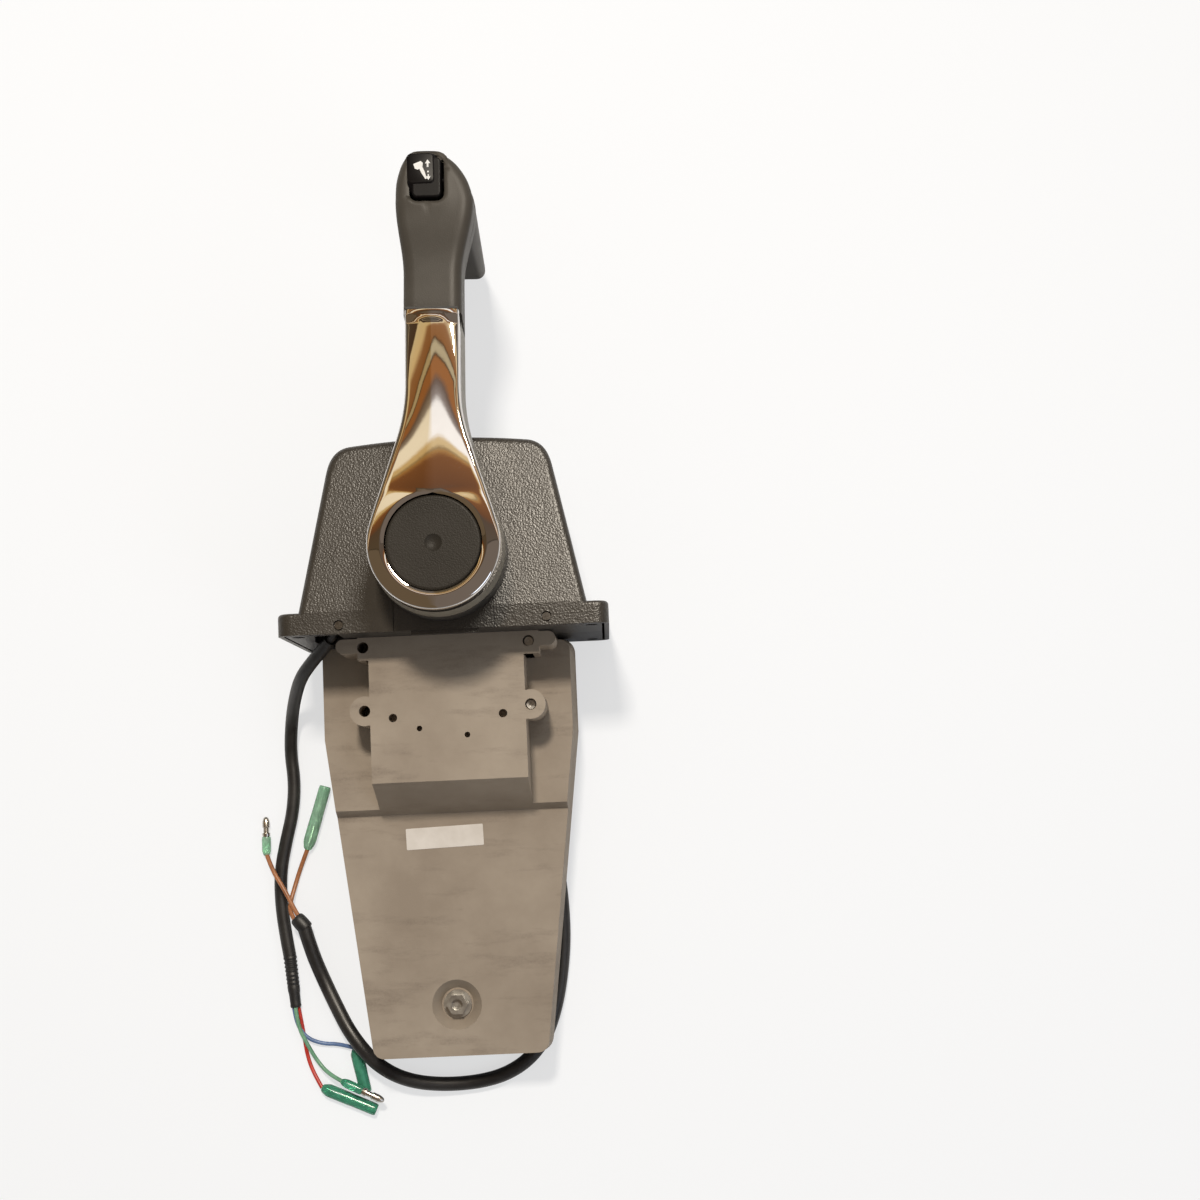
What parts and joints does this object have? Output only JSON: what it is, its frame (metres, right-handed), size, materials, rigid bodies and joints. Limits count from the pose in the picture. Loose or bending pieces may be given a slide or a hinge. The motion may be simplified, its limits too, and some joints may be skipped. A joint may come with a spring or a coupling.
{
  "type": "boat throttle control lever",
  "caption": "Single-lever boat throttle and shift control: chrome-faced lever with a T grip and trim rocker, black cover with mounting flange, cast cable case below, loose leads.",
  "frame": {"origin": "centre of the console bolts, in the underside plane of the flange", "axes": "+X along the flange, +Y up the upright lever, +Z out of the hub face; it lies on its far side"},
  "size_m": [0.2014, 0.4982, 0.16],
  "materials": {
    "cover_plastic": "fine leather grain",
    "grip_plastic": "fine spark grain",
    "switch_plastic": "fine grain",
    "seal_rubber": "moulded",
    "lever_paint": "satin dark grey",
    "chrome_plate": "bright plated",
    "case_paint": "matt paint on a die casting, scuffed",
    "back_paint": "matt paint on pressed steel",
    "plain_steel": "zinc plated",
    "spring_wire": "drawn wire",
    "gear_alloy": "cast",
    "bush_bronze": "turned",
    "label_film": "printed film, left bare",
    "lead_jacket": "matt jacket",
    "wire_red_skin": "satin",
    "wire_blue_skin": "satin",
    "wire_green_skin": "satin",
    "wire_brown_skin": "satin",
    "sleeve": "clear green sleeve over a tinned terminal",
    "terminal": "tinned brass"
  },
  "bodies": {
    "housing": {"cover_shell": "cover_plastic", "hub_panel": "cover_plastic", "hub_collar": "cover_plastic", "cover_screws": "plain_steel", "base_near_half": "cover_plastic", "base_far_half": "cover_plastic", "near_case": "case_paint", "case_gasket": "seal_rubber", "far_case": "back_paint", "case_screws": "plain_steel", "base_screws": "plain_steel", "pad_screws": "plain_steel", "clamp_bolt": "plain_steel", "flange_nut": "plain_steel", "cable_clamp": "switch_plastic", "label_plate": "label_film", "shaft_bushes": "bush_bronze", "pivot_pin": "plain_steel", "friction_screw": "plain_steel", "detent_spring": "spring_wire", "detent_plug": "plain_steel", "switch_body": "switch_plastic", "switch_screws": "plain_steel", "trim_lead": "lead_jacket", "trim_boot": "seal_rubber", "connector_red": "sleeve", "connector_blue": "sleeve", "connector_green": "terminal", "wire_red": "wire_red_skin", "wire_blue": "wire_blue_skin", "wire_green": "wire_green_skin", "trim_lead_inner": "lead_jacket", "neutral_lead": "lead_jacket", "neutral_boot": "seal_rubber", "connector_brown_male": "terminal", "connector_brown_female": "sleeve", "wire_brown_male": "wire_brown_skin", "wire_brown_female": "wire_brown_skin", "lead_gland": "seal_rubber", "neutral_lead_inner": "lead_jacket"},
    "lever": {"lever_arm": "lever_paint", "lever_chrome": "chrome_plate", "lever_gasket": "seal_rubber", "lever_clamp_screw": "plain_steel", "grip_near_shell": "grip_plastic", "grip_far_shell": "grip_plastic", "grip_screws": "plain_steel", "trim_switch_body": "switch_plastic", "button_spring": "spring_wire", "main_shaft": "plain_steel", "shaft_circlip": "spring_wire", "drive_gear": "gear_alloy", "detent_plate": "plain_steel", "switch_lead": "lead_jacket"},
    "throttle_button": {"free_throttle_button": "switch_plastic"},
    "trim_rocker": {"trim_rocker": "switch_plastic"},
    "shift_sector": {"shift_lever": "gear_alloy"},
    "throttle_sector": {"throttle_lever": "gear_alloy"},
    "detent_plunger": {"detent_plunger": "plain_steel"},
    "switch_pin": {"switch_plunger": "plain_steel"}
  },
  "joints": [
    {"name": "lever_turn", "type": "hinge", "parent": "housing", "child": "lever", "pos_m": [0.0007, 0.0385, 0], "axis": [0, 0, 1], "range_deg": [-85, 70]},
    {"name": "button_press", "type": "slide", "parent": "lever", "child": "throttle_button", "axis": [0, 0, -1], "range_m": [0, 0.005], "stiffness_N_per_m": 800, "springref_m": -0.003, "deforming": ["button_spring"]},
    {"name": "rocker_tilt", "type": "hinge", "parent": "lever", "child": "trim_rocker", "pos_m": [0.00357, 0.22349, 0.0955], "axis": [0.9996, -0.0279, 0], "range_deg": [-8, 8], "stiffness_Nm_per_rad": 0.15},
    {"name": "shift_turn", "type": "hinge", "parent": "housing", "child": "shift_sector", "pos_m": [0.0007, -0.014, 0], "axis": [0, 0, 1], "range_deg": [-28, 34]},
    {"name": "throttle_turn", "type": "hinge", "parent": "housing", "child": "throttle_sector", "pos_m": [0.0007, -0.014, 0], "axis": [0, 0, 1], "range_deg": [-52.5, 63.75]},
    {"name": "detent_slide", "type": "slide", "parent": "housing", "child": "detent_plunger", "axis": [0, 1, 0], "range_m": [0, 0.002], "stiffness_N_per_m": 3000, "springref_m": -0.002, "deforming": ["detent_spring"]},
    {"name": "switch_pin_slide", "type": "slide", "parent": "housing", "child": "switch_pin", "axis": [1, 0, 0], "range_m": [0, 0.0015], "stiffness_N_per_m": 500, "springref_m": -0.001}
  ],
  "couplings": [
    {"joint": "shift_turn", "follows": "lever_turn", "ratio": -0.4},
    {"joint": "throttle_turn", "follows": "lever_turn", "ratio": -0.75}
  ]
}
